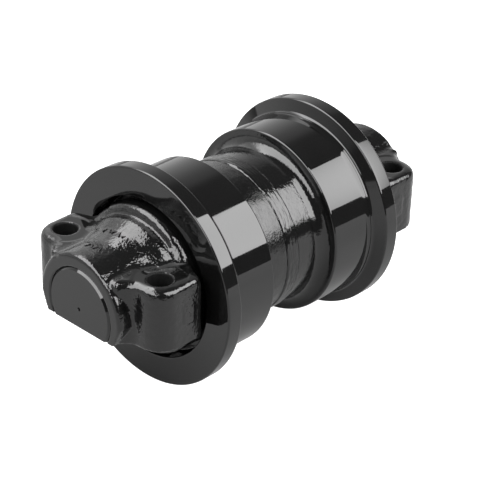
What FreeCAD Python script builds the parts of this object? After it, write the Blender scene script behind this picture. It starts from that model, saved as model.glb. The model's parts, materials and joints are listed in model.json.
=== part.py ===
import FreeCAD, Part
import math
import os

# Bottom track roller for a 20 to 22 tonne excavator, in millimetres.
# The roller turns about the Y axis. Z is up, and the collars' seats face down, to -Z.
# "Station" is a distance from the roller's middle along Y, towards either end.
# "Left" is the -Y end and "right" is the +Y end. A "round" is an edge's rounding radius.

# ---- driving dimensions: shell halves and weld ----
FLANGE_R = 95.0
TREAD_R = 82.5
WAIST_R = 68.5
SHELL_HALF = 102.5
SHELL_END_ROUND = 1.6
FLANGE_RIM_STATION = 88.2
FLANGE_RIM_ROUND = 1.8
LAND_R = 83.7
LAND_START = 79.3
LAND_END = 83.0
FLANGE_ROOT_ROUND = 3.0
TREAD_OUTER_STATION = 77.0
TREAD_INNER_STATION = 37.0
TREAD_EDGE_ROUND = 1.8
WAIST_WALL_ROUND = 11.0
WELD_HALF = 7.5
WELD_ROOT_R = 60.0
WELD_ROOT_HALF = 1.0
WELD_CROWN_R = 69.4
WELD_TOE = 1.6
WELD_CROWN_ROUND = 1.0
RECESS_R = 70.0
RECESS_STATION = 88.0
RECESS_MOUTH_ROUND = 1.2
RECESS_FLOOR_ROUND = 2.0
OIL_CAVITY_R = 44.0
OIL_CAVITY_SLOPE_START = 4.0
OIL_CAVITY_SLOPE_END = 10.0

# ---- shaft and oil plug ----
SHAFT_R = 35.0
SHAFT_HALF = 173.5
SHAFT_CHAMFER = 1.6
SEAT_Z = -17.0
SEAT_STATION = 118.4
OIL_BORE_R = 5.0
OIL_CROSS_R = 4.0
PLUG_R = 9.0
PLUG_LENGTH = 14.0
PLUG_HEAD_DEPTH = 3.0
PLUG_GAP = 0.1
PLUG_INNER_CHAMFER = 1.0
PLUG_END_ROUND = 0.8
PLUG_SOCKET_HALF = 5.0
PLUG_SOCKET_DEPTH = 6.0
CENTRE_DRILL_R = 1.6
CENTRE_DRILL_TIP_R = 0.3
CENTRE_DRILL_DEPTH = 4.0

# ---- collars ----
COLLAR_END = 173.0
COLLAR_END_ROUND = 3.5
COLLAR_FACE = 91.0
COLLAR_FACE_ROUND = 1.0
DISC_R = 65.0
DISC_FRONT = 109.3
DISC_ROUND = 5.0
BOSS_FOOT_R = 57.8
BOSS_FOOT_STATION = 110.8
BOSS_FOOT_ROUND = 2.0
BOSS_R = 57.0
BOSS_FRONT = 117.5
BOSS_ROUND = 3.0
FLARE_R = 51.5
FLARE_STATION = 128.0
FLARE_ROUND = 20.0
BARREL_R = 47.0
BARREL_START = 143.0
BARREL_START_ROUND = 30.0
NOSE_R = 46.0
NOSE_FACE = 74.3
NOSE_ROUND = 0.8
BORE_GAP = 0.05
BORE_MOUTH = 3.0
BORE_MOUTH_START = 1.2
PARTING_Z = 0.0
PARTING_STEP = 0.5
JAW_HALF_BELOW_SEAT = 36.5
JAW_BELOW_SEAT = 5.0

# ---- collar ears and their bolt holes ----
BOLT_X = 55.2
BOLT_STATION = 138.4
BOLT_R = 10.0
EAR_R = 20.0
EAR_FRONT_ROUND = 19.5
EAR_BACK_STATION = 112.5
EAR_BACK_ROUND = 5.0
EAR_ROOT_X = 54.0
EAR_ROOT_STATION = 104.0
EAR_NECK_X = 44.5
EAR_NECK_ROUND = 14.0
EAR_TIP_X = 38.2
EAR_TIP_STATION = 169.5
EAR_TIP_ROUND = 5.0
EAR_EDGE_ROUND = 4.0
EAR_TOP_Z = 37.1
SPOT_FACE_Z = 36.7
SPOT_FACE_R = 22.0

# ---- lock pins ----
PIN_STATION = 150.0
PIN_R = 6.0
PIN_TOP_Z = 41.0
PIN_GAP = 0.02
PIN_TIP_GAP = 1.0
PIN_SINK = 0.5
PIN_CHAMFER = 0.8

# ---- bushes ----
BUSH_R = 39.0
BUSH_RUNNING_GAP = 0.06
BUSH_INNER_STATION = 26.0
BUSH_END_CHAMFER = 0.8
BUSH_FLANGE_STATION = 70.0
BUSH_FLANGE_THICK = 4.0
BUSH_FLANGE_R = 46.0
BUSH_FLANGE_GAP = 0.2
BUSH_FLANGE_CHAMFER = 0.6
BUSH_RELIEF = 1.6
OIL_GROOVE_START = 46.0
OIL_GROOVE_WIDTH = 5.0
OIL_GROOVE_SLOPE = 1.0
OIL_GROOVE_DEPTH = 1.2

# ---- floating seals ----
SEAL_MEET = 89.0
SEAL_FACE_GAP = 0.05
SEAL_HOUSING_R = 57.0
SEAL_HOUSING_STATION = 76.0
SEAL_HOUSING_ROUND = 1.5
SEAL_HOUSING_MOUTH = 0.8
SEAL_GROOVE_STATION = 103.0
SEAL_BORE_R = 48.5
SEAL_LIP_R = 55.5
SEAL_LIP_THICK = 2.5
SEAL_LIP_SLOPE = 0.4
SEAL_RAMP_R = 52.0
SEAL_TAIL_R = 51.2
SEAL_TAIL_ROUND = 0.8
SEAL_RING_DEPTH = 11.0
SEAL_EDGE_ROUND = 0.5
TORIC_CENTRE_R = 54.3
TORIC_BACK = 6.5
TORIC_R = 2.6

# ---- O-rings in the shaft ----
O_RING_STATION = 97.0
O_RING_CENTRE_R = 33.2
O_RING_R = 1.75
O_RING_GROOVE_R = 31.4
O_RING_GROOVE_HALF = 2.3

# A cutter runs past the surface it cuts by CUT_OVER, and a joined piece is sunk by JOIN_OVER.
CUT_OVER = 5.0
JOIN_OVER = 1.0
CUT_REACH = 80.0
COINCIDENT = 1e-6
FULL_TURN = 360
HEX_SIDES = 6

ORIGIN = FreeCAD.Vector(0, 0, 0)
ALONG_X = FreeCAD.Vector(1, 0, 0)
ALONG_Y = FreeCAD.Vector(0, 1, 0)
UP = FreeCAD.Vector(0, 0, 1)


def vec(x, y, z=0.0):
    return FreeCAD.Vector(x, y, z)


def outline(corners):
    """Closed wire through (x, y) or (x, y, corner radius) points in the XY plane."""
    points = [vec(c[0], c[1]) for c in corners]
    radii = [c[2] if len(c) > 2 else 0.0 for c in corners]
    count = len(corners)
    starts, ends, arcs = [], [], []
    for i in range(count):
        corner = points[i]
        to_last = (points[i - 1] - corner).normalize()
        to_next = (points[(i + 1) % count] - corner).normalize()
        if radii[i] == 0.0:
            starts.append(corner)
            ends.append(corner)
            arcs.append(None)
            continue
        half_angle = to_last.getAngle(to_next) / 2.0
        setback = radii[i] / math.tan(half_angle)
        bisector = (to_last + to_next).normalize()
        middle = corner + bisector * (radii[i] / math.sin(half_angle) - radii[i])
        starts.append(corner + to_last * setback)
        ends.append(corner + to_next * setback)
        arcs.append(Part.Arc(starts[i], middle, ends[i]).toShape())
    edges = []
    for i in range(count):
        if arcs[i] is not None:
            edges.append(arcs[i])
        following = starts[(i + 1) % count]
        if ends[i].distanceToPoint(following) > COINCIDENT:
            edges.append(Part.makeLine(ends[i], following))
    return Part.Wire(edges)


def turned(corners):
    """Solid of revolution about Y from (radius, station, corner radius) points."""
    return Part.Face(outline(corners)).revolve(ORIGIN, ALONG_Y, FULL_TURN)


def plate(corners, low_z, high_z):
    """Upright prism from (x, y, corner radius) points."""
    face = Part.Face(outline(corners))
    face.translate(vec(0, 0, low_z))
    return face.extrude(vec(0, 0, high_z - low_z))


def mirrored(shape, side):
    """The right-hand shape itself for side 1, or its left-hand mirror image for side -1."""
    if side > 0:
        return shape
    return shape.mirror(ORIGIN, ALONG_Y)


# ---- roller: two forged shell halves joined by a weld, with a bush in each ----

def shell_half():
    """Right-hand forged half: waist, tread, flange, bush bore, seal bore and end recess."""
    outside = [
        (WELD_ROOT_R, 0.0),
        (WELD_ROOT_R, WELD_ROOT_HALF),
        (WAIST_R, WELD_HALF),
        (WAIST_R, TREAD_INNER_STATION, WAIST_WALL_ROUND),
        (TREAD_R, TREAD_INNER_STATION, TREAD_EDGE_ROUND),
        (TREAD_R, TREAD_OUTER_STATION),
        (LAND_R, LAND_START),
        (LAND_R, LAND_END, FLANGE_ROOT_ROUND),
        (FLANGE_R, FLANGE_RIM_STATION, FLANGE_RIM_ROUND),
        (FLANGE_R, SHELL_HALF, SHELL_END_ROUND),
    ]
    thrust_face = BUSH_FLANGE_STATION + BUSH_FLANGE_THICK
    relief_r = BUSH_FLANGE_R + BUSH_RELIEF
    inside = [
        (RECESS_R, SHELL_HALF, RECESS_MOUTH_ROUND),
        (RECESS_R, RECESS_STATION, RECESS_FLOOR_ROUND),
        (SEAL_HOUSING_R, RECESS_STATION, SEAL_HOUSING_MOUTH),
        (SEAL_HOUSING_R, SEAL_HOUSING_STATION, SEAL_HOUSING_ROUND),
        (relief_r, SEAL_HOUSING_STATION),
        (relief_r, thrust_face),
        (BUSH_FLANGE_R, thrust_face),
        (BUSH_FLANGE_R, BUSH_FLANGE_STATION),
        (BUSH_R, BUSH_FLANGE_STATION),
        (BUSH_R, BUSH_INNER_STATION - OIL_CAVITY_SLOPE_START),
        (OIL_CAVITY_R, BUSH_INNER_STATION - OIL_CAVITY_SLOPE_END),
        (OIL_CAVITY_R, 0.0),
    ]
    return turned(outside + inside)


def shell_weld():
    """Weld bead that fills the V between the two shell halves, with a slightly proud crown."""
    return turned([
        (WELD_ROOT_R, -WELD_ROOT_HALF),
        (WAIST_R, -WELD_HALF),
        (WELD_CROWN_R, -WELD_HALF + WELD_TOE, WELD_CROWN_ROUND),
        (WELD_CROWN_R, WELD_HALF - WELD_TOE, WELD_CROWN_ROUND),
        (WAIST_R, WELD_HALF),
        (WELD_ROOT_R, WELD_ROOT_HALF),
    ])


def bushing():
    """Right-hand flanged bush, with its thrust flange outboard and an oil groove in its bore."""
    bore_r = SHAFT_R + BUSH_RUNNING_GAP
    rim_r = BUSH_FLANGE_R - BUSH_FLANGE_GAP
    face = BUSH_FLANGE_STATION + BUSH_FLANGE_THICK
    groove_r = bore_r + OIL_GROOVE_DEPTH
    groove_end = OIL_GROOVE_START + OIL_GROOVE_WIDTH
    return turned([
        (bore_r, BUSH_INNER_STATION),
        (BUSH_R, BUSH_INNER_STATION, BUSH_END_CHAMFER),
        (BUSH_R, BUSH_FLANGE_STATION),
        (rim_r, BUSH_FLANGE_STATION),
        (rim_r, face, BUSH_FLANGE_CHAMFER),
        (bore_r, face, BUSH_END_CHAMFER),
        (bore_r, groove_end),
        (groove_r, groove_end - OIL_GROOVE_SLOPE),
        (groove_r, OIL_GROOVE_START + OIL_GROOVE_SLOPE),
        (bore_r, OIL_GROOVE_START),
    ])


# ---- floating seals: two lapped metal rings per end, each on its rubber toric ----

def seal_ring(inward):
    """Metal seal ring whose lapped face meets its twin; inward is -1 towards the middle."""
    face = SEAL_MEET + inward * SEAL_FACE_GAP
    tail = face + inward * SEAL_RING_DEPTH
    return turned([
        (SEAL_BORE_R, face, SEAL_EDGE_ROUND),
        (SEAL_LIP_R, face),
        (SEAL_LIP_R, face + inward * SEAL_LIP_THICK, SEAL_EDGE_ROUND),
        (SEAL_RAMP_R, face + inward * (SEAL_LIP_THICK + SEAL_LIP_SLOPE), SEAL_EDGE_ROUND),
        (SEAL_TAIL_R, tail, SEAL_TAIL_ROUND),
        (SEAL_BORE_R, tail),
    ])


def toric(inward):
    """Rubber ring held between a seal ring's ramp and the wall of its housing."""
    station = SEAL_MEET + inward * (SEAL_FACE_GAP + TORIC_BACK)
    return Part.makeTorus(TORIC_CENTRE_R, TORIC_R, vec(0, station), ALONG_Y)


# ---- fixed shaft, its oil plug and its O-rings ----

def seat_cut(side):
    """Block that leaves the flat under one end of the shaft."""
    length = SHAFT_HALF - SEAT_STATION + CUT_OVER
    low_y = SEAT_STATION if side > 0 else -SEAT_STATION - length
    half_width = SHAFT_R + CUT_OVER
    corner = vec(-half_width, low_y, -half_width)
    return Part.makeBox(2 * half_width, length, half_width + SEAT_Z, corner)


def o_ring_groove(side):
    """Ring cut into the shaft for one O-ring."""
    start = vec(0, side * O_RING_STATION - O_RING_GROOVE_HALF)
    width = 2 * O_RING_GROOVE_HALF
    outer = Part.makeCylinder(SHAFT_R + CUT_OVER, width, start, ALONG_Y)
    return outer.cut(Part.makeCylinder(O_RING_GROOVE_R, width, start, ALONG_Y))


def pin_hole(side):
    start = vec(0, side * PIN_STATION, SEAT_Z - JOIN_OVER)
    return Part.makeCylinder(PIN_R, PIN_TOP_Z - SEAT_Z + JOIN_OVER, start, UP)


def shaft():
    """Round bar with a flat under each end, oil bores, pin holes and O-ring grooves."""
    body = turned([
        (0.0, -SHAFT_HALF),
        (SHAFT_R - SHAFT_CHAMFER, -SHAFT_HALF),
        (SHAFT_R, -SHAFT_HALF + SHAFT_CHAMFER),
        (SHAFT_R, SHAFT_HALF - SHAFT_CHAMFER),
        (SHAFT_R - SHAFT_CHAMFER, SHAFT_HALF),
        (0.0, SHAFT_HALF),
    ])
    for side in (-1, 1):
        body = body.cut(seat_cut(side)).cut(o_ring_groove(side)).cut(pin_hole(side))
    body = body.cut(Part.makeCylinder(OIL_BORE_R, SHAFT_HALF, ORIGIN, ALONG_Y))
    body = body.cut(Part.makeCylinder(OIL_CROSS_R, SHAFT_R + CUT_OVER, ORIGIN, UP))
    socket_depth = PLUG_HEAD_DEPTH + PLUG_LENGTH
    socket_floor = vec(0, SHAFT_HALF - socket_depth)
    body = body.cut(Part.makeCylinder(PLUG_R, socket_depth + CUT_OVER, socket_floor, ALONG_Y))
    end = vec(0, -SHAFT_HALF)
    centre = Part.makeCone(CENTRE_DRILL_R, CENTRE_DRILL_TIP_R, CENTRE_DRILL_DEPTH, end, ALONG_Y)
    return body.cut(centre)


def oil_plug():
    """Socket-head plug in the right-hand end of the shaft's oil bore."""
    outer = SHAFT_HALF - PLUG_HEAD_DEPTH
    inner = outer - PLUG_LENGTH + PLUG_INNER_CHAMFER
    body_r = PLUG_R - PLUG_GAP
    body = turned([
        (0.0, inner),
        (body_r, inner, PLUG_INNER_CHAMFER),
        (body_r, outer, PLUG_END_ROUND),
        (0.0, outer),
    ])
    corner_r = PLUG_SOCKET_HALF / math.cos(math.pi / HEX_SIDES)
    turns = [2 * math.pi * i / HEX_SIDES for i in range(HEX_SIDES)]
    hexagon = [(corner_r * math.cos(turn), corner_r * math.sin(turn)) for turn in turns]
    socket = plate(hexagon, 0.0, PLUG_SOCKET_DEPTH + JOIN_OVER)
    socket.rotate(ORIGIN, ALONG_X, -90)
    socket.translate(vec(0, outer - PLUG_SOCKET_DEPTH, 0))
    return body.cut(socket)


def collar_o_ring():
    return Part.makeTorus(O_RING_CENTRE_R, O_RING_R, vec(0, O_RING_STATION), ALONG_Y)


def lock_pin():
    """Dowel driven up from the seat, through the shaft's flat and into the collar's crown."""
    length = PIN_TOP_Z - PIN_TIP_GAP - SEAT_Z - PIN_SINK
    body = Part.makeCylinder(PIN_R - PIN_GAP, length, vec(0, PIN_STATION, SEAT_Z + PIN_SINK), UP)
    return body.makeChamfer(PIN_CHAMFER, [e for e in body.Edges if e.Closed])


# ---- forged end collars ----

def collar_barrel():
    """Seal-housing disc, boss, flare and barrel, narrowed below the parting line over the seat."""
    body = turned([
        (0.0, COLLAR_FACE),
        (DISC_R, COLLAR_FACE, COLLAR_FACE_ROUND),
        (DISC_R, DISC_FRONT, DISC_ROUND),
        (BOSS_FOOT_R, BOSS_FOOT_STATION, BOSS_FOOT_ROUND),
        (BOSS_R, BOSS_FRONT, BOSS_ROUND),
        (FLARE_R, FLARE_STATION, FLARE_ROUND),
        (BARREL_R, BARREL_START, BARREL_START_ROUND),
        (BARREL_R, COLLAR_END, COLLAR_END_ROUND),
        (0.0, COLLAR_END),
    ])
    outer_x = BARREL_R + CUT_REACH
    cheek = [
        (BARREL_R - PARTING_STEP, PARTING_Z),
        (outer_x, PARTING_Z),
        (outer_x, SEAT_Z - JAW_BELOW_SEAT),
        (JAW_HALF_BELOW_SEAT, SEAT_Z - JAW_BELOW_SEAT),
    ]
    for sign in (-1, 1):
        face = Part.Face(outline([(sign * x, z) for x, z in cheek]))
        prism = face.extrude(vec(0, 0, -COLLAR_END))
        prism.rotate(ORIGIN, ALONG_X, 90)
        prism.translate(vec(0, SEAT_STATION, 0))
        body = body.cut(prism)
    return body


def collar_ears():
    """Bolt ears on both sides of the barrel, rounded about their holes, with flat tops."""
    side_x = BOLT_X + EAR_R
    front = BOLT_STATION + EAR_R
    half = [
        (EAR_ROOT_X, EAR_ROOT_STATION),
        (side_x, EAR_BACK_STATION, EAR_BACK_ROUND),
        (side_x, front, EAR_FRONT_ROUND),
        (EAR_NECK_X, front, EAR_NECK_ROUND),
        (EAR_TIP_X, EAR_TIP_STATION, EAR_TIP_ROUND),
    ]
    corners = half + [(-x, *rest) for x, *rest in reversed(half)]
    body = plate(corners, SEAT_Z, EAR_TOP_Z)
    rim = [e for e in body.Edges
           if min(v.Z for v in e.Vertexes) > EAR_TOP_Z - COINCIDENT
           and abs(e.CenterOfMass.x) > EAR_TIP_X - EAR_TIP_ROUND]
    return body.makeFillet(EAR_EDGE_ROUND, rim)


def collar():
    """Barrel and ears over the seat, bored for the shaft and bolts and grooved for the seal."""
    body = collar_barrel().fuse(collar_ears()).removeSplitter()
    seat_length = COLLAR_END - SEAT_STATION + CUT_OVER
    seat_corner = vec(-CUT_REACH, SEAT_STATION, SEAT_Z - CUT_REACH)
    body = body.cut(Part.makeBox(2 * CUT_REACH, seat_length, CUT_REACH, seat_corner))
    for sign in (-1, 1):
        bolt = sign * BOLT_X
        spot = Part.makeCylinder(SPOT_FACE_R, CUT_REACH, vec(bolt, BOLT_STATION, SPOT_FACE_Z), UP)
        hole = Part.makeCylinder(BOLT_R, CUT_REACH, vec(bolt, BOLT_STATION, SEAT_Z - CUT_OVER), UP)
        body = body.cut(spot).cut(hole)
    nose = turned([
        (0.0, NOSE_FACE),
        (NOSE_R, NOSE_FACE, NOSE_ROUND),
        (NOSE_R, COLLAR_FACE + JOIN_OVER),
        (0.0, COLLAR_FACE + JOIN_OVER),
    ])
    groove = turned([
        (NOSE_R, COLLAR_FACE - JOIN_OVER),
        (SEAL_HOUSING_R, COLLAR_FACE - JOIN_OVER),
        (SEAL_HOUSING_R, SEAL_GROOVE_STATION, SEAL_HOUSING_ROUND),
        (NOSE_R, SEAL_GROOVE_STATION, SEAL_HOUSING_ROUND),
    ])
    bore_r = SHAFT_R + BORE_GAP
    bore_start = NOSE_FACE - CUT_OVER
    bore_length = COLLAR_END - bore_start + CUT_OVER
    bore = Part.makeCylinder(bore_r, bore_length, vec(0, bore_start), ALONG_Y)
    mouth_start = vec(0, COLLAR_END - BORE_MOUTH_START)
    mouth = Part.makeCone(bore_r, SHAFT_R + BORE_MOUTH, BORE_MOUTH, mouth_start, ALONG_Y)
    return body.fuse(nose).cut(groove).cut(bore).cut(mouth).cut(pin_hole(1))


# ---- one STEP file for each piece ----

def save(name, shape):
    """Write one piece, as a single closed solid, to its own file."""
    solid = shape.Solids[0] if len(shape.Solids) == 1 else shape
    if len(shape.Solids) != 1 or not solid.isValid():
        raise ValueError(f"{name}: {len(shape.Solids)} solids, valid {shape.isValid()}")
    solid.exportStep(os.path.join("parts", name + ".step"))
    box = solid.BoundBox
    print(name, round(solid.Volume), "mm3, Y", round(box.YMin, 2), "to", round(box.YMax, 2))


PAIRED_PIECES = {
    "shell_half": shell_half(),
    "bushing": bushing(),
    "shell_seal_ring": seal_ring(-1),
    "shell_seal_toric": toric(-1),
    "collar_seal_ring": seal_ring(1),
    "collar_seal_toric": toric(1),
    "collar": collar(),
    "collar_o_ring": collar_o_ring(),
    "lock_pin": lock_pin(),
}

os.makedirs("parts", exist_ok=True)
for piece_name, piece in PAIRED_PIECES.items():
    for side_name, side_sign in (("left", -1), ("right", 1)):
        save(f"{piece_name}_{side_name}", mirrored(piece, side_sign))
save("shell_weld", shell_weld())
save("shaft", shaft())
save("oil_plug", oil_plug())
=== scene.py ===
"""Looks of a double-flange track roller: gloss black enamel over turned and forged steel.

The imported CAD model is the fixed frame. The shell halves, the weld and the two collars are modelled again
with a forged skin, and every other node keeps its CAD shape and gets its own finish. The sizes that pieces and
finishes hold are millimetres, and the studio's are metres. A station is a distance from the middle along Y,
the roller's axis. The collars' seats face -Z.
"""
import json
import logging
import math
from dataclasses import dataclass, field
from enum import Enum
from typing import Callable, Iterable

import bmesh
import bpy
from mathutils import Matrix, Vector, noise

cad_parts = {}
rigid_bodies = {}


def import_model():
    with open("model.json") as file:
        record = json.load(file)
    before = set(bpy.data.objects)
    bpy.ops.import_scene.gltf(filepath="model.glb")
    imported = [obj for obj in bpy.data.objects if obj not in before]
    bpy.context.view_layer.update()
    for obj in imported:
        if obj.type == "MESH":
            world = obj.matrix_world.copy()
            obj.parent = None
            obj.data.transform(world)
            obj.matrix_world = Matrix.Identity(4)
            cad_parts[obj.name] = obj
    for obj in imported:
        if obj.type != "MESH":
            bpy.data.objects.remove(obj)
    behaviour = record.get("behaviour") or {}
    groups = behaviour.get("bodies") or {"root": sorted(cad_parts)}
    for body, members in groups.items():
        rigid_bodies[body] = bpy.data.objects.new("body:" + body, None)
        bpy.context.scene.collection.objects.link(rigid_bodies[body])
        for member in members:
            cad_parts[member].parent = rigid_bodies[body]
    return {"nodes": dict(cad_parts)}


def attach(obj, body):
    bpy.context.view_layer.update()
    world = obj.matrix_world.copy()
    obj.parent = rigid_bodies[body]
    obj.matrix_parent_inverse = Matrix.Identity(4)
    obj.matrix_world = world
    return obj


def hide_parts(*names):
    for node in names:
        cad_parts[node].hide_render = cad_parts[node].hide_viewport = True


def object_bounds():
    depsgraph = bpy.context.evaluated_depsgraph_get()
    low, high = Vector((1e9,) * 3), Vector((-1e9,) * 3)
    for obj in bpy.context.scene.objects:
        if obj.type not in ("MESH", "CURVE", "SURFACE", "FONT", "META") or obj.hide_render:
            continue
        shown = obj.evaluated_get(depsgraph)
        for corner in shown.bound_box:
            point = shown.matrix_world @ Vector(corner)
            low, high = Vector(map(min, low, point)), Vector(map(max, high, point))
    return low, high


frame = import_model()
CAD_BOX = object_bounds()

MM = 0.001
TOUCH = 1e-6  # metres: points nearer than this are one point
LOG = logging.getLogger("track_roller")
Predicate = Callable[[Vector], bool]


class Side(Enum):
    """The two ends of the roller, by their direction along Y."""

    LEFT = -1
    RIGHT = 1

    @property
    def word(self) -> str:
        """The word that the CAD nodes of this end carry."""
        return self.name.lower()


# ------------ colour and nodes


def linear(hex_colour: str) -> tuple[float, float, float, float]:
    """Turn an sRGB hex colour into linear RGBA.

    Args:
        hex_colour: A colour such as "#0a0a0b".

    Returns:
        The linear red, green and blue, and an alpha of 1.
    """
    channels = [int(hex_colour[i:i + 2], 16) / 255 for i in (1, 3, 5)]
    return (*[c / 12.92 if c <= 0.04045 else ((c + 0.055) / 1.055) ** 2.4 for c in channels], 1.0)


def add_node(tree: bpy.types.NodeTree, kind: str, settings: dict | None = None,
             links: dict | None = None) -> bpy.types.Node:
    """Add one node with its settings and links.

    Args:
        tree: The node tree that it goes into.
        kind: The node's type, such as "ShaderNodeBump".
        settings: Values by property name, or by input name or number.
        links: Output sockets by input name or number.

    Returns:
        The new node.
    """
    node = tree.nodes.new(kind)
    for key, value in (settings or {}).items():
        if isinstance(key, int) or key in node.inputs:
            node.inputs[key].default_value = value
        else:
            setattr(node, key, value)
    for key, socket in (links or {}).items():
        tree.links.new(socket, node.inputs[key])
    return node


def new_material(name: str) -> tuple[bpy.types.Material, bpy.types.NodeTree]:
    """Make an empty node material.

    Args:
        name: The material's name.

    Returns:
        The material and its node tree.
    """
    material = bpy.data.materials.new(name)
    material.use_nodes = True
    material.node_tree.nodes.clear()
    return material, material.node_tree


# ------------ finishes


@dataclass(frozen=True)
class Relief:
    """One layer of bump under a film, as noise of a real grain size and depth, finer along Y by a factor."""

    grain_mm: float
    depth_mm: float
    detail: float = 2.0
    finer_along_y: float = 1.0
    distortion: float = 0.0


@dataclass(frozen=True)
class Enamel:
    """Gloss black enamel, sprayed in one coat over the finished roller.

    The wet film levels out, so it mirrors the room sharply and keeps only the larger relief of the steel.
    """

    name: str
    reliefs: tuple[Relief, ...]
    colour: str = "#060606"
    dusty_colour: str = "#0a0a0a"
    film_roughness: tuple[float, float] = (0.03, 0.07)
    film_patch_mm: float = 35.0
    film_detail: float = 3.0
    film_contrast: tuple[float, float] = (0.3, 0.7)
    ior: float = 1.5

    def build(self) -> bpy.types.Material:
        """Make the material.

        Returns:
            The enamel as a procedural material on Object coordinates.
        """
        material, tree = new_material(self.name)
        place = add_node(tree, "ShaderNodeTexCoord").outputs["Object"]
        patches = add_node(tree, "ShaderNodeTexNoise",
                           {"Scale": 1 / (self.film_patch_mm * MM), "Detail": self.film_detail},
                           {"Vector": place})
        film = add_node(tree, "ShaderNodeMapRange",
                        {"From Min": self.film_contrast[0], "From Max": self.film_contrast[1],
                         "To Min": self.film_roughness[0], "To Max": self.film_roughness[1]},
                        {"Value": patches.outputs["Fac"]})
        colour = add_node(tree, "ShaderNodeMix", {"data_type": "RGBA", 6: linear(self.colour),
                                                  7: linear(self.dusty_colour)}, {0: patches.outputs["Fac"]})
        normal = None
        for relief in self.reliefs:
            drawn = add_node(tree, "ShaderNodeMapping", {"Scale": (1, relief.finer_along_y, 1)},
                             {"Vector": place})
            grain = add_node(tree, "ShaderNodeTexNoise",
                             {"Scale": 1 / (relief.grain_mm * MM), "Detail": relief.detail,
                              "Distortion": relief.distortion}, {"Vector": drawn.outputs["Vector"]})
            links = {"Height": grain.outputs["Fac"]}
            if normal is not None:
                links["Normal"] = normal
            bump = add_node(tree, "ShaderNodeBump", {"Distance": relief.depth_mm * MM}, links)
            normal = bump.outputs["Normal"]
        shader = add_node(tree, "ShaderNodeBsdfPrincipled", {"IOR": self.ior},
                          {"Base Color": colour.outputs[2], "Roughness": film.outputs["Result"],
                           "Normal": normal})
        add_node(tree, "ShaderNodeOutputMaterial", links={"Surface": shader.outputs["BSDF"]})
        return material


@dataclass(frozen=True)
class TurnedMetal:
    """Bare turned or ground metal, whose tool marks run round the roller's axis."""

    name: str
    colour: str
    stained_colour: str
    roughness: tuple[float, float]
    lay_mm: float = 0.8
    lay_detail: float = 3.0
    lay_depth_mm: float = 0.004
    stain_mm: float = 12.0
    stain_detail: float = 4.0

    def build(self) -> bpy.types.Material:
        """Make the material.

        Returns:
            The metal as a procedural material, with its lay along Y and along the radius.
        """
        material, tree = new_material(self.name)
        place = add_node(tree, "ShaderNodeTexCoord").outputs["Object"]
        parts = add_node(tree, "ShaderNodeSeparateXYZ", links={0: place})
        flat = add_node(tree, "ShaderNodeCombineXYZ", links={0: parts.outputs["X"], 1: parts.outputs["Z"]})
        radius = add_node(tree, "ShaderNodeVectorMath", {"operation": "LENGTH"}, {0: flat.outputs["Vector"]})
        across = add_node(tree, "ShaderNodeMath", {"operation": "ADD"},
                          {0: radius.outputs["Value"], 1: parts.outputs["Y"]})
        lay = add_node(tree, "ShaderNodeTexNoise",
                       {"noise_dimensions": "1D", "Scale": 1 / (self.lay_mm * MM), "Detail": self.lay_detail},
                       {"W": across.outputs["Value"]})
        stain = add_node(tree, "ShaderNodeTexNoise",
                         {"Scale": 1 / (self.stain_mm * MM), "Detail": self.stain_detail}, {"Vector": place})
        colour = add_node(tree, "ShaderNodeMix", {"data_type": "RGBA", 6: linear(self.colour),
                                                  7: linear(self.stained_colour)}, {0: stain.outputs["Fac"]})
        smoothest, roughest = self.roughness
        rough = add_node(tree, "ShaderNodeMapRange", {"To Min": smoothest, "To Max": roughest},
                         {"Value": lay.outputs["Fac"]})
        bump = add_node(tree, "ShaderNodeBump", {"Distance": self.lay_depth_mm * MM},
                        {"Height": lay.outputs["Fac"]})
        shader = add_node(tree, "ShaderNodeBsdfPrincipled", {"Metallic": 1.0},
                          {"Base Color": colour.outputs[2], "Roughness": rough.outputs["Result"],
                           "Normal": bump.outputs["Normal"]})
        add_node(tree, "ShaderNodeOutputMaterial", links={"Surface": shader.outputs["BSDF"]})
        return material


@dataclass(frozen=True)
class MouldedRubber:
    """Nitrile rubber from a polished mould: dull black, with a grey bloom in patches."""

    name: str = "nitrile_rubber_moulded"
    colour: str = "#141414"
    bloom_colour: str = "#1f1f20"
    roughness: tuple[float, float] = (0.35, 0.6)
    bloom_mm: float = 9.0
    bloom_detail: float = 4.0
    grain_mm: float = 0.6
    grain_detail: float = 2.0
    grain_depth_mm: float = 0.01
    ior: float = 1.52

    def build(self) -> bpy.types.Material:
        """Make the material.

        Returns:
            The rubber as a procedural material on Object coordinates.
        """
        material, tree = new_material(self.name)
        place = add_node(tree, "ShaderNodeTexCoord").outputs["Object"]
        bloom = add_node(tree, "ShaderNodeTexNoise",
                         {"Scale": 1 / (self.bloom_mm * MM), "Detail": self.bloom_detail}, {"Vector": place})
        grain = add_node(tree, "ShaderNodeTexNoise",
                         {"Scale": 1 / (self.grain_mm * MM), "Detail": self.grain_detail}, {"Vector": place})
        colour = add_node(tree, "ShaderNodeMix", {"data_type": "RGBA", 6: linear(self.colour),
                                                  7: linear(self.bloom_colour)}, {0: bloom.outputs["Fac"]})
        smoothest, roughest = self.roughness
        rough = add_node(tree, "ShaderNodeMapRange", {"To Min": smoothest, "To Max": roughest},
                         {"Value": bloom.outputs["Fac"]})
        bump = add_node(tree, "ShaderNodeBump", {"Distance": self.grain_depth_mm * MM},
                        {"Height": grain.outputs["Fac"]})
        shader = add_node(tree, "ShaderNodeBsdfPrincipled", {"IOR": self.ior},
                          {"Base Color": colour.outputs[2], "Roughness": rough.outputs["Result"],
                           "Normal": bump.outputs["Normal"]})
        add_node(tree, "ShaderNodeOutputMaterial", links={"Surface": shader.outputs["BSDF"]})
        return material


# ------------ modelling bench


def deselect_all() -> None:
    """Go to object mode and leave nothing selected."""
    if bpy.context.mode != "OBJECT":
        bpy.ops.object.mode_set(mode="OBJECT")
    bpy.ops.object.select_all(action="DESELECT")


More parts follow.
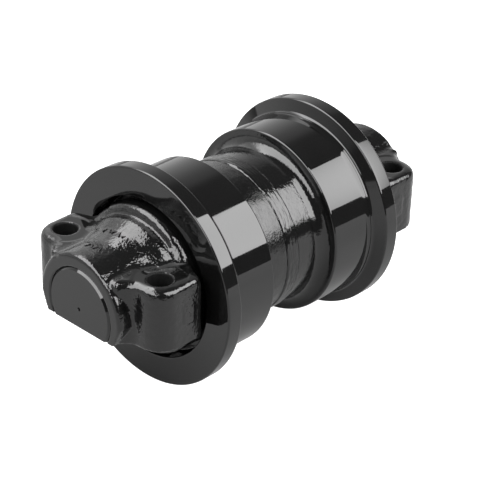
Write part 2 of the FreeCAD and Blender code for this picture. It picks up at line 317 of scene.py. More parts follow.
def pick(piece: bpy.types.Object) -> None:
    """Select one object alone and make it active."""
    deselect_all()
    piece.select_set(True)
    bpy.context.view_layer.objects.active = piece


def select_where(test: Predicate, kind: str = "verts") -> None:
    """Select the parts of the edited mesh whose middle passes a test, and nothing else.

    Args:
        test: Says whether a point, in metres, is wanted.
        kind: "verts" or "edges".
    """
    mesh = bmesh.from_edit_mesh(bpy.context.edit_object.data)
    for group in (mesh.verts, mesh.edges, mesh.faces):
        for part in group:
            part.select = False
    for part in getattr(mesh, kind):
        corners = [part] if kind == "verts" else part.verts
        if test(sum((v.co for v in corners), Vector()) / len(corners)):
            part.select_set(True)
    bmesh.update_edit_mesh(bpy.context.edit_object.data)


def near(*points: Vector) -> Predicate:
    """Make a test that passes at any of some points."""
    return lambda place: any((place - point).length < TOUCH for point in points)


def apply_modifier(piece: bpy.types.Object, name: str, kind: str, **settings: object) -> None:
    """Add a modifier, set it and apply it.

    Args:
        piece: The object that takes it.
        name: The modifier's name.
        kind: Its type, such as "REMESH".
        settings: Its properties.
    """
    pick(piece)
    modifier = piece.modifiers.new(name, kind)
    for key, value in settings.items():
        setattr(modifier, key, value)
    bpy.ops.object.modifier_apply(modifier=name)


def weigh(piece: bpy.types.Object, name: str, weight: Callable[[Vector, Vector], float]) -> None:
    """Fill a vertex group from each vertex's place and normal.

    Args:
        piece: The mesh object.
        name: The group's name.
        weight: Gives 0 to 1 from a vertex's place and normal.
    """
    group = piece.vertex_groups.new(name=name)
    for vertex in piece.data.vertices:
        value = weight(vertex.co, vertex.normal)
        if value > 0:
            group.add([vertex.index], min(1.0, value), "REPLACE")


def coat(piece: bpy.types.Object, *finishes: bpy.types.Material) -> None:
    """Give a piece its finishes, in the order of its material slots."""
    piece.data.materials.clear()
    for finish in finishes:
        piece.data.materials.append(finish)


@dataclass(frozen=True)
class Roughening:
    """One layer of real relief in a mesh, as soft noise of a grain size and a height, with finer octaves."""

    name: str
    grain_mm: float
    octaves: int
    height_mm: float

    def raise_on(self, piece: bpy.types.Object, group: str) -> None:
        """Displace the vertices of one vertex group.

        Args:
            piece: The mesh object.
            group: The vertex group's name.
        """
        texture = bpy.data.textures.new(self.name, "CLOUDS")
        texture.noise_scale = self.grain_mm * MM
        texture.noise_depth = self.octaves
        apply_modifier(piece, self.name, "DISPLACE", texture=texture, texture_coords="LOCAL",
                       strength=self.height_mm * MM, mid_level=0.5, vertex_group=group)


@dataclass(frozen=True)
class Corner:
    """One corner of a turned outline: its radius from the axis, its station along it, and its rounding."""

    radius_mm: float
    station_mm: float
    rounding_mm: float = 0.0

    @property
    def point(self) -> Vector:
        """The corner's place in the XY plane, in metres."""
        return Vector((self.radius_mm, self.station_mm, 0.0)) * MM


@dataclass
class TurnedOutline:
    """A closed outline that is drawn with vertex extrusions and spun about Y."""

    name: str
    corners: list[Corner]
    steps: int
    arc_step_mm: float = 0.6
    least_segments: int = 3
    crease_deg: float = 32.0

    def make(self, finer: Iterable[tuple[Predicate, float]] = ()) -> bpy.types.Object:
        """Draw the outline, round its corners and spin it.

        Args:
            finer: Tests for edges to divide, each with the length in millimetres that their parts get.

        Returns:
            The spun solid, smooth, with its normals outwards.
        """
        deselect_all()
        bpy.ops.mesh.primitive_plane_add(size=MM, location=(0, 0, 0))
        piece = bpy.context.active_object
        piece.name = piece.data.name = self.name
        bpy.ops.object.mode_set(mode="EDIT")
        bpy.ops.mesh.select_all(action="SELECT")
        bpy.ops.mesh.merge(type="CENTER")
        bpy.ops.transform.translate(value=self.corners[0].point)
        for last, corner in zip(self.corners, self.corners[1:]):
            bpy.ops.mesh.extrude_vertices_move(TRANSFORM_OT_translate={"value": corner.point - last.point})
        select_where(near(self.corners[0].point, self.corners[-1].point))
        bpy.ops.mesh.edge_face_add()
        for i, corner in enumerate(self.corners):
            if corner.rounding_mm:
                self.round_corner(i)
        for test, part_mm in finer:
            self.divide(test, part_mm * MM)
        bpy.ops.mesh.select_all(action="SELECT")
        bpy.ops.mesh.spin(steps=self.steps, angle=2 * math.pi, center=(0, 0, 0), axis=(0, 1, 0))
        bpy.ops.mesh.select_all(action="SELECT")
        bpy.ops.mesh.remove_doubles(threshold=TOUCH)
        bpy.ops.mesh.select_all(action="SELECT")
        bpy.ops.mesh.normals_make_consistent(inside=False)
        bpy.ops.object.mode_set(mode="OBJECT")
        bpy.ops.object.shade_smooth_by_angle(angle=math.radians(self.crease_deg))
        return piece

    def round_corner(self, index: int) -> None:
        """Round one corner of the drawn outline with a vertex bevel."""
        corner = self.corners[index]
        back = (self.corners[index - 1].point - corner.point).normalized()
        ahead = (self.corners[(index + 1) % len(self.corners)].point - corner.point).normalized()
        half_angle = back.angle(ahead) / 2
        setback = corner.rounding_mm / math.tan(half_angle)
        arc_mm = corner.rounding_mm * (math.pi - 2 * half_angle)
        segments = max(self.least_segments, round(arc_mm / self.arc_step_mm))
        select_where(near(corner.point))
        bpy.ops.mesh.bevel(offset_type="OFFSET", offset=setback * MM, segments=segments, affect="VERTICES",
                           profile=0.5)

    @staticmethod
    def divide(test: Predicate, part: float) -> None:
        """Divide each chosen edge of the outline into parts of about one length."""
        mesh = bmesh.from_edit_mesh(bpy.context.edit_object.data)
        middles = [((e.verts[0].co + e.verts[1].co) / 2, e.calc_length()) for e in mesh.edges]
        for middle, length in middles:
            cuts = round(length / part) - 1
            if cuts > 0 and test(middle):
                select_where(near(middle), "edges")
                bpy.ops.mesh.subdivide(number_cuts=cuts)


# ------------ the roller


@dataclass
class Finishes:
    """Every finish of the object, made once."""

    machined: bpy.types.Material
    forged: bpy.types.Material
    scaly: bpy.types.Material
    cast: bpy.types.Material
    bore: bpy.types.Material
    bead: bpy.types.Material
    bronze: bpy.types.Material
    seal_iron: bpy.types.Material
    rubber: bpy.types.Material
    dowel: bpy.types.Material
    oxide: bpy.types.Material

    @classmethod
    def mix(cls) -> "Finishes":
        """Make all the finishes."""
        # Sprayed over turned steel: a black mirror with the faintest waviness.
        machined = Enamel("gloss_black_enamel_over_turned_steel", (Relief(9.0, 0.010, 1.0),))
        # Over the drop-forged waist: fibrous scale round the roller, which frays each reflection's edges.
        forged = Enamel("gloss_black_enamel_over_forged_scale",
                        (Relief(5.0, 0.10, 2.0, 1.6), Relief(1.9, 0.10, 2.0, 1.3, 0.4)))
        # The left half of the waist keeps its scale, which scatters the whole reflection into short streaks.
        scaly = Enamel("gloss_black_enamel_over_heavy_forged_scale",
                       (Relief(4.0, 0.12, 2.0, 2.0), Relief(1.5, 0.20, 2.0, 1.8, 0.6)))
        # Over the shot-blasted collar: an even, fine peel that sparkles where it turns to the light.
        cast = Enamel("gloss_black_enamel_over_blasted_forging",
                      (Relief(4.5, 0.10, 2.0), Relief(1.7, 0.20, 1.0, 1.0, 0.3)))
        # Thin overspray inside the drilled bolt holes stays dull; its darker colour and weaker reflection are
        # painted shade in the holes.
        bore = Enamel("dull_black_overspray_in_drilled_holes", (Relief(2.0, 0.02, 2.0),), colour="#030303",
                      dusty_colour="#050505", film_roughness=(0.6, 0.75), ior=1.25)
        # Over the weld bead: long runs of metal along the seam.
        bead = Enamel("gloss_black_enamel_over_weld_bead", (Relief(1.6, 0.06, 3.0, 2.5, 0.8),))
        # Bored bronze: warm yellow brown, with a fine lay that blurs what it mirrors.
        bronze = TurnedMetal("tin_bronze_bored", "#b08a4e", "#8f6c3b", (0.22, 0.38))
        # Lapped iron of the seal rings: cool grey, the smoothest metal inside.
        iron = TurnedMetal("white_iron_lapped", "#8d8f92", "#75777b", (0.12, 0.25), lay_depth_mm=0.002)
        # Ground dowel steel: bright, with a light band along its length.
        dowel = TurnedMetal("dowel_steel_ground", "#9a9b9d", "#6f7073", (0.2, 0.35), lay_depth_mm=0.003)
        # Blackened steel of the plug: near black, with a soft dull shine.
        oxide = TurnedMetal("plug_steel_black_oxide", "#2a2a2c", "#1c1c1d", (0.35, 0.5))
        return cls(machined=machined.build(), forged=forged.build(), scaly=scaly.build(), cast=cast.build(),
                   bore=bore.build(), bead=bead.build(), bronze=bronze.build(), seal_iron=iron.build(),
                   rubber=MouldedRubber().build(), dowel=dowel.build(), oxide=oxide.build())


@dataclass
class ShellHalf:
    """One forged half of the roller: waist, tread and flange outside, bush, seal and end recess inside."""

    side: Side
    steps: int = 384
    weld_root_r: float = 60.0
    weld_root: float = 1.0
    weld_toe: float = 7.5
    waist_r: float = 68.5
    waist_round: float = 11.0
    tread_edge: float = 37.0
    tread_r: float = 82.5
    tread_round: float = 1.8
    tread_end: float = 77.0
    land_r: float = 83.7
    land_start: float = 79.3
    land_end: float = 83.0
    flange_foot_round: float = 3.0
    flange_r: float = 95.0
    flange_rim: float = 88.2
    flange_rim_round: float = 1.8
    half_length: float = 102.5
    end_round: float = 1.6
    recess_r: float = 70.0
    recess_floor: float = 88.0
    recess_mouth_round: float = 1.2
    recess_foot_round: float = 2.0
    seal_r: float = 57.0
    seal_floor: float = 76.0
    seal_mouth_round: float = 0.8
    seal_foot_round: float = 1.5
    relief_r: float = 47.6
    bush_flange_r: float = 46.0
    bush_flange_front: float = 74.0
    bush_flange_back: float = 70.0
    bush_r: float = 39.0
    bush_end: float = 22.0
    oil_r: float = 44.0
    oil_end: float = 16.0
    skin_r: float = 66.0
    skin_end: float = 40.0
    toe_fade: float = 2.0
    edge_clearance: float = 2.2
    edge_fade: float = 3.0
    waist_margin: float = 0.5
    waist_edge: float = 1.1
    scale_share: float = 0.4

    @property
    def forged_depth(self) -> float:
        """The depth of the hammer marks, which were ground nearly smooth on the right half."""
        return 0.30 if self.side is Side.LEFT else 0.13

    @property
    def name(self) -> str:
        """The piece's name."""
        return f"roller_half_{self.side.word}"

    def outline(self) -> list[Corner]:
        """List the corners of the turned section, for this end."""
        outside = [
            (self.weld_root_r, 0.0), (self.weld_root_r, self.weld_root), (self.waist_r, self.weld_toe),
            (self.waist_r, self.tread_edge, self.waist_round),
            (self.tread_r, self.tread_edge, self.tread_round),
            (self.tread_r, self.tread_end), (self.land_r, self.land_start),
            (self.land_r, self.land_end, self.flange_foot_round),
            (self.flange_r, self.flange_rim, self.flange_rim_round),
            (self.flange_r, self.half_length, self.end_round),
        ]
        inside = [
            (self.recess_r, self.half_length, self.recess_mouth_round),
            (self.recess_r, self.recess_floor, self.recess_foot_round),
            (self.seal_r, self.recess_floor, self.seal_mouth_round),
            (self.seal_r, self.seal_floor, self.seal_foot_round),
            (self.relief_r, self.seal_floor), (self.relief_r, self.bush_flange_front),
            (self.bush_flange_r, self.bush_flange_front), (self.bush_flange_r, self.bush_flange_back),
            (self.bush_r, self.bush_flange_back), (self.bush_r, self.bush_end),
            (self.oil_r, self.oil_end), (self.oil_r, 0.0),
        ]
        return [Corner(r, self.side.value * station, *rounding) for r, station, *rounding in outside + inside]

    def forged_share(self, place: Vector, _normal: Vector = Vector()) -> float:
        """Say how far a point belongs to the forged skin, from 0 on turned faces to 1 on the waist."""
        radius, station = math.hypot(place.x, place.z) / MM, abs(place.y) / MM
        if radius < self.skin_r or station > self.skin_end:
            return 0.0
        from_toe = (station - self.weld_toe) / self.toe_fade
        from_edge = (self.tread_r - self.edge_clearance - radius) / self.edge_fade
        return max(0.0, min(1.0, from_toe, from_edge))

    def on_waist(self, place: Vector) -> bool:
        """Say whether a point of the drawn outline is on the waist, which needs short edges for its skin."""
        return place.x > self.skin_r * MM and abs(place.y) < (self.tread_edge + self.waist_margin) * MM

    def build(self, finishes: Finishes) -> bpy.types.Object:
        """Model this half and dress it.

        Args:
            finishes: The finishes to take from.

        Returns:
            The finished piece, riding on the roller.
        """
        piece = TurnedOutline(self.name, self.outline(), self.steps).make([(self.on_waist, self.waist_edge)])
        weigh(piece, "forged", self.forged_share)
        Roughening("hammer_marks", 9.0, 1, self.forged_depth).raise_on(piece, "forged")
        Roughening("forging_scale", 2.6, 2, self.scale_share * self.forged_depth).raise_on(piece, "forged")
        coat(piece, finishes.machined, finishes.scaly if self.side is Side.LEFT else finishes.forged)
        for face in piece.data.polygons:
            face.material_index = int(self.forged_share(face.center) > 0.0)
        apply_modifier(piece, "even_shading", "WEIGHTED_NORMAL", weight=50, keep_sharp=True)
        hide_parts(f"shell_half_{self.side.word}")
        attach(piece, "roller")
        return piece


@dataclass
class WeldBead:
    """The seam weld round the waist: long runs of metal between an open toe and a sharp one."""

    steps: int = 720
    root_r: float = 60.0
    root_half: float = 1.0
    crown_r: float = 69.0
    crown_inset: float = 1.2
    crown_round: float = 1.0
    toe_r: float = 68.1
    half_width: float = 7.5
    surface_r: float = 67.5
    surface_edge: float = 0.5
    surface_depth: float = 0.5
    side_margin: float = 0.4
    run_length: float = 8.0
    run_width: float = 1.5
    run_height: float = 0.85
    run_octaves: int = 4
    undercut_width: float = 2.4
    undercut_depth: float = 0.7
    undercut_grain: float = 5.0
    undercut_ragged: float = 0.5

    def build(self, finishes: Finishes) -> bpy.types.Object:
        """Model the bead and dress it.

        Args:
            finishes: The finishes to take from.

        Returns:
            The finished piece, riding on the roller.
        """
        half = [(self.root_r, self.root_half, 0.0), (self.toe_r, self.half_width, 0.0),
                (self.crown_r, self.half_width - self.crown_inset, self.crown_round)]
        corners = [Corner(r, y, c) for r, y, c in half] + [Corner(r, -y, c) for r, y, c in reversed(half)]
        finer = [(lambda place: place.x > self.surface_r * MM, self.surface_edge)]
        piece = TurnedOutline("weld_bead", corners, self.steps).make(finer)
        weigh(piece, "runs", self.run)
        weigh(piece, "undercut", self.undercut)
        apply_modifier(piece, "runs", "DISPLACE", strength=self.run_height * MM, mid_level=0.5,
                       vertex_group="runs")
        apply_modifier(piece, "undercut", "DISPLACE", strength=-self.undercut_depth * MM, mid_level=0.0,
                       vertex_group="undercut")
        coat(piece, finishes.bead)
        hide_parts("shell_weld")
        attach(piece, "roller")
        return piece

    def run(self, place: Vector, _normal: Vector) -> float:
        """Give the height of the runs of metal, from 0 to 1, drawn out round the seam."""
        radius = math.hypot(place.x, place.z)
        if self.below_surface(radius) or abs(place.y) > (self.half_width - self.side_margin) * MM:
            return 0.0
        turns = self.crown_r / self.run_length / radius
        spot = Vector((place.x * turns, place.z * turns, place.y / (self.run_width * MM)))
        return 0.5 + 0.5 * noise.fractal(spot, 1.0, 2.0, self.run_octaves)

    def undercut(self, place: Vector, _normal: Vector) -> float:
        """Give the depth of the ragged undercut along the bead's left toe, from 0 to 1."""
        if self.below_surface(math.hypot(place.x, place.z)):
            return 0.0
        from_toe = (place.y / MM + self.half_width) / self.undercut_width
        ragged = noise.noise(place / (self.undercut_grain * MM)) * self.undercut_ragged
        return max(0.0, 1.0 - from_toe + ragged)

    def below_surface(self, radius: float) -> bool:
        """Say whether a radius, in metres, is in the buried root of the weld."""
        return radius < (self.toe_r - self.surface_depth) * MM


@dataclass(frozen=True)
class MarkRow:
    """One row of short raised bars round the barrel, at one station and at several turns about the axis."""

    station: float
    turns_deg: tuple[float, ...]
    length: float = 5.5
    width: float = 1.3
    rise: float = 0.55
    lift: float = 0.1
    edge_round: float = 0.35
    edge_segments: int = 3
    shortening: float = 0.3
    slant_deg: float = 24.0
    steeper: float = 1.4

    def add_bar(self, index: int, side: Side, radius: float) -> bpy.types.Object:
        """Model one bar on the surface.

        Args:
            index: Which bar of the row it is.
            side: The end that it is on.
            radius: The surface's radius at the row, in millimetres.

        Returns:
            The bar, with rounded edges, standing on the barrel.
        """
        deselect_all()
        bpy.ops.mesh.primitive_cube_add(size=MM)
        bar = bpy.context.active_object
        bar.name = bar.data.name = f"forging_bar_{side.word}_{index}"
        length = self.length * (1.0 - self.shortening * (index % 3 == 1))
        bpy.ops.transform.resize(value=(length, self.width, 2 * self.rise))
        bpy.ops.object.transform_apply(location=True, rotation=True, scale=True)
        apply_modifier(bar, "round", "BEVEL", width=self.edge_round * MM, segments=self.edge_segments,
                       limit_method="NONE")
        bpy.ops.object.shade_smooth()
        slant = self.slant_deg * (-1 if index % 2 else self.steeper) * side.value
        around = Matrix.Rotation(math.radians(90 - self.turns_deg[index]), 4, "Y")
        out = Matrix.Translation(Vector((0, side.value * self.station, radius + self.lift)) * MM)
        bar.matrix_world = around @ out @ Matrix.Rotation(math.radians(90 + slant), 4, "Z")
        bpy.ops.object.transform_apply(location=True, rotation=True, scale=True)
        return bar


class CollarCoat(Enum):
    """The finishes of a collar, by material slot."""

    MACHINED = 0
    BLASTED = 1
    BORE = 2


@dataclass
class EndCollar:
    """One forged end collar: its CAD solid with blended ears, a blasted skin, and raised forging marks."""

    side: Side
    weld: float = 0.01
    cell: float = 1.0
    profile: tuple[tuple[float, float], ...] = ((104.0, 65.0), (110.8, 57.8), (117.5, 57.0), (128.0, 51.5),
                                                (143.0, 47.0), (173.0, 47.0))
    facing: float = 0.9
    pad_x: float = 34.0
    pad_z: float = 37.1
    pad_band: float = 0.9
    seat_z: float = -17.0
    seat_band: float = 0.8
    end_station: float = 173.0
    end_band: float = 1.8
    bore_r: float = 39.2
    inboard_station: float = 102.0
    inboard_r: float = 64.0
    bolt_x: float = 55.2
    bolt_station: float = 138.4
    bolt_r: float = 10.0
    bolt_edge: float = 1.0
    edge_depth: float = 3.8
    edge_slope: tuple[float, float] = (0.2, 0.93)
    edge_x: float = 40.0
    edge_station: float = 106.0
    edge_from_bolt: float = 15.0
    edge_growth: int = 4
    edge_passes: int = 60
    blend_station: float = 111.0
    blend_reach: float = 5.0
    blend_widening: float = 0.12
    blend_narrow_station: float = 143.0
    blend_core: float = 2.0
    blend_passes: int = 40
    label_x: float = 70.0
    label_y: tuple[float, float] = (120.0, 133.0)
    label_z: tuple[float, float] = (0.0, 20.0)
    label_round: float = 4.0
    label_rise: float = 0.35
    skin: tuple[Roughening, ...] = (Roughening("blasted_peel", 5.0, 1, 0.34),
                                    Roughening("blasted_grit", 2.0, 1, 0.22))
    marks: tuple[MarkRow, ...] = (MarkRow(130.5, (108, 101, 96, 89, 84, 79, 72, 67, 61)),
                                  MarkRow(153.5, (103, 97, 92, 86)))

    @property
    def node(self) -> str:
        """The CAD node that this piece stands for."""
        return f"collar_{self.side.word}"

    def barrel_r(self, station: float) -> float:
        """Give the barrel's radius at a station, in millimetres."""
        for (y0, r0), (y1, r1) in zip(self.profile, self.profile[1:]):
            if y0 <= station <= y1:
                return r0 + (r1 - r0) * (station - y0) / (y1 - y0)
        return 0.0

    def from_bolt(self, place: Vector) -> float:
        """Give a point's distance from the nearer bolt hole's axis, in millimetres."""
        return math.hypot(abs(place.x) / MM - self.bolt_x, abs(place.y) / MM - self.bolt_station)

    def coat_at(self, place: Vector, normal: Vector) -> CollarCoat:
        """Say which finish a point has.

        Args:
            place: The point, in metres.
            normal: The surface's direction there.

        Returns:
            Bore in the bolt holes, machined on turned, bored and milled faces, and blasted elsewhere.
        """
        # Bolt holes and a thin rim round them take the dull hole finish, whose darker colour is painted shade.
        if self.from_bolt(place) < self.bolt_r + self.bolt_edge:
            return CollarCoat.BORE
        station, height, radius = abs(place.y) / MM, place.z / MM, math.hypot(place.x, place.z) / MM
        across = abs(normal.y) > self.facing
        cut_faces = (
            (abs(height - self.pad_z) < self.pad_band and normal.z > self.facing
             and abs(place.x) > self.pad_x * MM),
            abs(height - self.seat_z) < self.seat_band and normal.z < -self.facing,
            station > self.end_station - self.end_band and across,
            station < self.inboard_station and (radius < self.inboard_r or across),
            radius < self.bore_r,
        )
        return CollarCoat.MACHINED if any(cut_faces) else CollarCoat.BLASTED

    def round_ears(self, piece: bpy.types.Object) -> None:
        """Widen the rounding along the ears' top edges, as a forging has it.

        Args:
            piece: The collar's even mesh.
        """
        weigh(piece, "ear_edge", self.ear_edge)
        pick(piece)
        bpy.ops.object.mode_set(mode="EDIT")
        bpy.ops.mesh.select_mode(type="VERT")
        bpy.ops.mesh.select_all(action="DESELECT")
        piece.vertex_groups.active_index = piece.vertex_groups["ear_edge"].index
        bpy.ops.object.vertex_group_select()
        for _ in range(self.edge_growth):
            bpy.ops.mesh.select_more()
        bpy.ops.mesh.vertices_smooth(factor=0.5, repeat=self.edge_passes)
        bpy.ops.mesh.select_all(action="DESELECT")
        bpy.ops.object.mode_set(mode="OBJECT")

    def ear_edge(self, place: Vector, normal: Vector) -> float:
        """Say whether a point is on the rounding along an ear's top edge, as 0 or 1."""
        steep, flat = self.edge_slope
        on_rounding = place.z / MM > self.pad_z - self.edge_depth and steep < normal.z < flat
        on_ear = abs(place.x) > self.edge_x * MM and abs(place.y) > self.edge_station * MM
        return float(on_rounding and on_ear and self.from_bolt(place) > self.edge_from_bolt)

    def blend(self, place: Vector, _normal: Vector) -> float:
        """Say how far a point belongs to the blend between an ear's top and the barrel, from 0 to 1."""
        radius = self.barrel_r(abs(place.y) / MM)
        if radius < self.pad_z or abs(place.y) < self.blend_station * MM:
            return 0.0
        foot = math.sqrt(radius ** 2 - self.pad_z ** 2)
        away = math.hypot(abs(place.x) / MM - foot, place.z / MM - self.pad_z)
        widening = self.blend_widening * max(0.0, self.blend_narrow_station - abs(place.y) / MM)
        return max(0.0, min(1.0, self.blend_core * (1.0 - away / (self.blend_reach + widening))))

    def label(self, place: Vector, normal: Vector) -> float:
        """Say how far a point belongs to the plain label pad on an ear's outer wall, from 0 to 1."""
        if abs(normal.x) < self.facing or abs(place.x) < self.label_x * MM:
            return 0.0
        (y0, y1), (z0, z1) = self.label_y, self.label_z
        y, z, corner = abs(place.y) / MM, place.z / MM, self.label_round
        past_y, past_z = max(y0 + corner - y, y - y1 + corner, 0.0), max(z0 + corner - z, z - z1 + corner, 0.0)
        return max(0.0, min(1.0, corner - math.hypot(past_y, past_z)))

    def build(self, finishes: Finishes) -> bpy.types.Object:
        """Model this collar from its CAD solid and dress it.

        Args:
            finishes: The finishes to take from.

        Returns:
            The finished piece, riding on the axle.
        """
        deselect_all()
        source = frame["nodes"][self.node]
        piece = bpy.data.objects.new(f"end_{self.node}", source.data.copy())
        piece.data.name = piece.name
        bpy.context.collection.objects.link(piece)
        pick(piece)
        bpy.ops.object.mode_set(mode="EDIT")
        bpy.ops.mesh.select_all(action="SELECT")
        bpy.ops.mesh.remove_doubles(threshold=self.weld * MM)
        bpy.ops.mesh.normals_make_consistent(inside=False)
        bpy.ops.object.mode_set(mode="OBJECT")
        apply_modifier(piece, "even_mesh", "REMESH", mode="VOXEL", voxel_size=self.cell * MM,
                       use_smooth_shade=True)
        weigh(piece, "blend", self.blend)
        apply_modifier(piece, "blend", "SMOOTH", factor=0.5, iterations=self.blend_passes,
                       vertex_group="blend")
        self.round_ears(piece)
        apply_modifier(piece, "soften", "SMOOTH", factor=0.5, iterations=1)
        weigh(piece, "skin", lambda place, normal: float(self.coat_at(place, normal) is CollarCoat.BLASTED))
        weigh(piece, "label", self.label)
        apply_modifier(piece, "label", "DISPLACE", strength=self.label_rise * MM, mid_level=0.0,
                       vertex_group="label")
        for layer in self.skin:
            layer.raise_on(piece, "skin")
        coat(piece, finishes.machined, finishes.cast, finishes.bore)
        for face in piece.data.polygons:
            face.material_index = self.coat_at(face.center, face.normal).value
        self.add_marks(piece)
        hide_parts(self.node)
        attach(piece, "axle")
        return piece

    def add_marks(self, piece: bpy.types.Object) -> None:
        """Raise two rows of plain forging bars on the flare and the barrel.

        Args:
            piece: The collar that they are joined to.
        """
        bars = [row.add_bar(index, self.side, self.barrel_r(row.station)) for row in self.marks
                for index in range(len(row.turns_deg))]
        pick(piece)
        for bar in bars:
            coat(bar, piece.data.materials[CollarCoat.BLASTED.value])
            bar.select_set(True)
        bpy.ops.object.join()


@dataclass
class CarriedNodes:
    """The pieces whose CAD shape is already right, each with its own finish."""

    by_finish: dict[str, tuple[str, ...]] = field(default_factory=lambda: {
        "machined": ("shaft",),
        "bronze": ("bushing_left", "bushing_right"),
        "seal_iron": ("shell_seal_ring_left", "shell_seal_ring_right", "collar_seal_ring_left",
                      "collar_seal_ring_right"),
        "rubber": ("shell_seal_toric_left", "shell_seal_toric_right", "collar_seal_toric_left",
                   "collar_seal_toric_right", "collar_o_ring_left", "collar_o_ring_right"),
        "dowel": ("lock_pin_left", "lock_pin_right"),
        "oxide": ("oil_plug",),
    })

    def dress(self, finishes: Finishes) -> int:
        """Give each carried node its finish.

        Args:
            finishes: The finishes to take from.

        Returns:
            How many nodes were dressed.
        """
        count = 0
        for finish, nodes in self.by_finish.items():
            for node in nodes:
                piece = frame["nodes"][node]
                if not piece.material_slots:
                    piece.data.materials.append(getattr(finishes, finish))
                for slot in piece.material_slots:
                    slot.material = getattr(finishes, finish)
                count += 1
        return count


# ------------ the studio


@dataclass(frozen=True)
class Softbox:
    """A flat softbox on the chord of an arc round the roller, whose glow changes along one world axis.

    Its turn is about Z, from -Y towards -X. Its span is the heights of its lower and upper edge, and its reach
    is where it starts and stops along its level edges. Its radiance is two pairs of a place and a strength.
    """

    name: str
    turn_deg: float
    span_deg: tuple[float, float]
    reach: tuple[float, float]
    axis: str
    radiance: tuple[tuple[float, float], tuple[float, float]]
    distance: float = 1.5

    def hang(self) -> None:
        """Hang it, facing the roller and hidden from the camera."""
        turn = math.radians(self.turn_deg)
        outward = Vector((-math.sin(turn), -math.cos(turn), 0))
        level = Vector((-outward.y, outward.x, 0))
        foot, head = ((outward * math.cos(height) + Vector((0, 0, math.sin(height)))) * self.distance
                      for height in map(math.radians, self.span_deg))
        start, stop = (level * reach for reach in self.reach)
        across, along = (head + start) - (foot + start), (foot + stop) - (foot + start)
        middle = foot + start + (across + along) / 2
        back = across.cross(along).normalized()
        if back.dot(middle) < 0:
            back.negate()
        light = bpy.data.lights.new(self.name, "AREA")
        light.shape = "RECTANGLE"
        light.size, light.size_y = across.length, along.length
        light.energy = across.length * along.length * math.pi
        light.use_nodes = True
        tree = light.node_tree
        tree.nodes.clear()
        place = add_node(tree, "ShaderNodeNewGeometry").outputs["Position"]
        parts = add_node(tree, "ShaderNodeSeparateXYZ", links={0: place})
        (start, near), (stop, far) = self.radiance
        strength = add_node(tree, "ShaderNodeMapRange",
                            {"From Min": start, "From Max": stop, "To Min": near, "To Max": far},
                            {"Value": parts.outputs[self.axis]})
        glow = add_node(tree, "ShaderNodeEmission", links={"Strength": strength.outputs["Result"]})
        add_node(tree, "ShaderNodeOutputLight", links={"Surface": glow.outputs[0]})
        box = bpy.data.objects.new(self.name, light)
        bpy.context.collection.objects.link(box)
        right = across.normalized()
        facing = Matrix((right, back.cross(right), back)).transposed()
        box.matrix_world = Matrix.Translation(middle) @ facing.to_4x4()
        box.visible_camera = False


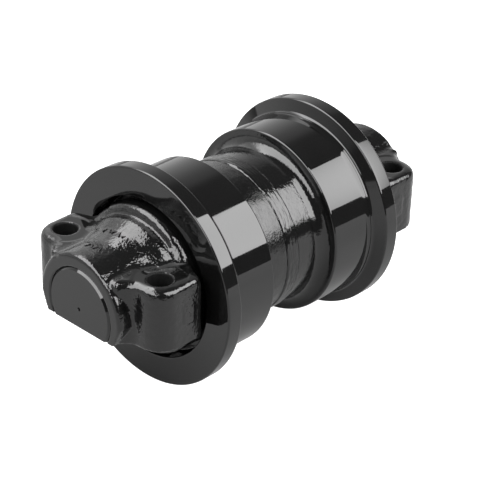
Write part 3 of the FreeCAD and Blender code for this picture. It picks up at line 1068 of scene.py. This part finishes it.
@dataclass
class Studio:
    """White table, one long softbox beside the roller, one above its left, a pale room, and the camera."""

    table_x: tuple[float, float] = (-3.0, 1.05)
    table_y: tuple[float, float] = (-2.5, 3.0)
    table_tones: tuple[str, str] = ("#868686", "#909090")
    table_clouds: float = 4.0
    table_detail: float = 3.0
    table_glow: float = 0.45
    table_white: float = 1.0
    softboxes: tuple[Softbox, ...] = (
        Softbox("softbox_side", -90.0, (15.0, 68.0), (-0.3, 2.3), "Y", ((1.15, 9.0), (1.5, 4.0))),
        Softbox("softbox_left", 52.8, (31.0, 76.0), (-1.95, 3.4), "X", ((-1.20, 0.8), (-0.88, 8.0))),
    )
    room_peak: float = 2.0
    room_stops: tuple[tuple[float, float], ...] = (
        (-180, 1.15), (-90, 1.0), (-12, 1.0), (-9, 0.12), (107, 0.13), (112, 0.18), (120, 0.40), (133, 0.55),
        (145, 0.77), (160, 0.96), (172, 1.15), (180, 1.15),
    )
    camera_azimuth_deg: float = 43.3244
    camera_elevation_deg: float = 29.4271
    camera_roll_deg: float = 1.5727
    camera_distance: float = 1.411486
    camera_aside: tuple[float, float] = (0.0053526, -0.0044086)
    camera_lens_mm: float = 124.7441
    camera_sensor_mm: float = 36.0
    camera_clip_end: float = 50.0

    def build(self) -> None:
        """Set up the whole studio."""
        self.lay_table()
        for softbox in self.softboxes:
            softbox.hang()
        self.paint_room()
        self.place_camera()

    def lay_table(self) -> None:
        """Lay the white table top under the roller."""
        deselect_all()
        (x0, x1), (y0, y1) = self.table_x, self.table_y
        floor = CAD_BOX[0][2]
        bpy.ops.mesh.primitive_plane_add(size=1, location=((x0 + x1) / 2, (y0 + y1) / 2, floor))
        table = bpy.context.active_object
        table.name = "studio_table"
        bpy.ops.transform.resize(value=(x1 - x0, y1 - y0, 1))
        bpy.ops.object.transform_apply(location=True, rotation=True, scale=True)
        material, tree = new_material("white_table_laminate")
        place = add_node(tree, "ShaderNodeTexCoord").outputs["Object"]
        cloud = add_node(tree, "ShaderNodeTexNoise",
                         {"Scale": self.table_clouds, "Detail": self.table_detail}, {"Vector": place})
        dark, light = (linear(tone) for tone in self.table_tones)
        tone = add_node(tree, "ShaderNodeMix", {"data_type": "RGBA", 6: dark, 7: light},
                        {0: cloud.outputs["Fac"]})
        diffuse = add_node(tree, "ShaderNodeBsdfDiffuse", links={"Color": tone.outputs[2]})
        glow = add_node(tree, "ShaderNodeEmission", {"Strength": self.table_glow}, {"Color": tone.outputs[2]})
        lit = add_node(tree, "ShaderNodeAddShader", links={0: diffuse.outputs[0], 1: glow.outputs[0]})
        white = add_node(tree, "ShaderNodeEmission", {"Strength": self.table_white})
        seen = add_node(tree, "ShaderNodeAddShader", links={0: lit.outputs[0], 1: white.outputs[0]})
        ray = add_node(tree, "ShaderNodeLightPath")
        shader = add_node(tree, "ShaderNodeMixShader",
                          links={0: ray.outputs["Is Camera Ray"], 1: lit.outputs[0], 2: seen.outputs[0]})
        add_node(tree, "ShaderNodeOutputMaterial", links={"Surface": shader.outputs[0]})
        table.data.materials.append(material)

    def paint_room(self) -> None:
        """Paint the room: dark behind the softboxes and overhead, and a white backdrop on the far side."""
        world = bpy.data.worlds.new("studio_room")
        bpy.context.scene.world = world
        world.use_nodes = True
        tree = world.node_tree
        tree.nodes.clear()
        place = add_node(tree, "ShaderNodeTexCoord").outputs["Generated"]
        parts = add_node(tree, "ShaderNodeSeparateXYZ", links={0: place})
        angle = add_node(tree, "ShaderNodeMath", {"operation": "ARCTAN2"},
                         {0: parts.outputs["Z"], 1: parts.outputs["X"]})
        turn = add_node(tree, "ShaderNodeMapRange", {"From Min": -math.pi, "From Max": math.pi},
                        {"Value": angle.outputs["Value"]})
        ramp = add_node(tree, "ShaderNodeValToRGB", links={"Fac": turn.outputs["Result"]})
        elements = ramp.color_ramp.elements
        while len(elements) > 1:
            elements.remove(elements[-1])
        for i, (degrees, radiance) in enumerate(self.room_stops):
            stop = elements[0] if i == 0 else elements.new((degrees + 180) / 360)
            stop.position = (degrees + 180) / 360
            stop.color = (*[radiance / self.room_peak] * 3, 1)
        room = add_node(tree, "ShaderNodeBackground", {"Strength": self.room_peak},
                        {"Color": ramp.outputs["Color"]})
        white = add_node(tree, "ShaderNodeBackground", {"Color": (1, 1, 1, 1), "Strength": 1.0})
        ray = add_node(tree, "ShaderNodeLightPath")
        mix = add_node(tree, "ShaderNodeMixShader",
                       links={0: ray.outputs["Is Camera Ray"], 1: room.outputs[0], 2: white.outputs[0]})
        add_node(tree, "ShaderNodeOutputWorld", links={"Surface": mix.outputs[0]})

    def place_camera(self) -> None:
        """Stand the camera at the near end, looking down along the roller."""
        scene = bpy.context.scene
        scene.view_settings.view_transform = "Standard"
        camera = bpy.data.cameras.new("camera")
        camera.lens = self.camera_lens_mm
        camera.sensor_width = self.camera_sensor_mm
        camera.clip_end = self.camera_clip_end
        holder = bpy.data.objects.new("camera", camera)
        bpy.context.collection.objects.link(holder)
        azimuth, elevation = math.radians(self.camera_azimuth_deg), math.radians(self.camera_elevation_deg)
        back = Vector((math.sin(azimuth) * math.cos(elevation), -math.cos(azimuth) * math.cos(elevation),
                       math.sin(elevation)))
        level_right = Vector((math.cos(azimuth), math.sin(azimuth), 0.0))
        roll = Matrix.Rotation(math.radians(self.camera_roll_deg), 3, back)
        right = roll @ level_right
        up = roll @ back.cross(level_right)
        place = back * self.camera_distance + right * self.camera_aside[0] + up * self.camera_aside[1]
        turn = Matrix((right, up, back)).transposed()
        holder.matrix_world = Matrix.Translation(place) @ turn.to_4x4()
        scene.camera = holder


def main() -> None:
    """Build the roller and its studio, and report each piece."""
    logging.basicConfig(level=logging.INFO, format="%(message)s")
    finishes = Finishes.mix()
    builders = [ShellHalf(side) for side in Side] + [WeldBead()] + [EndCollar(side) for side in Side]
    for builder in builders:
        piece = builder.build(finishes)
        LOG.info("%s: %d triangles", piece.name, sum(len(face.vertices) - 2 for face in piece.data.polygons))
    LOG.info("carried nodes dressed: %d", CarriedNodes().dress(finishes))
    Studio().build()


if __name__ == "__main__":
    main()
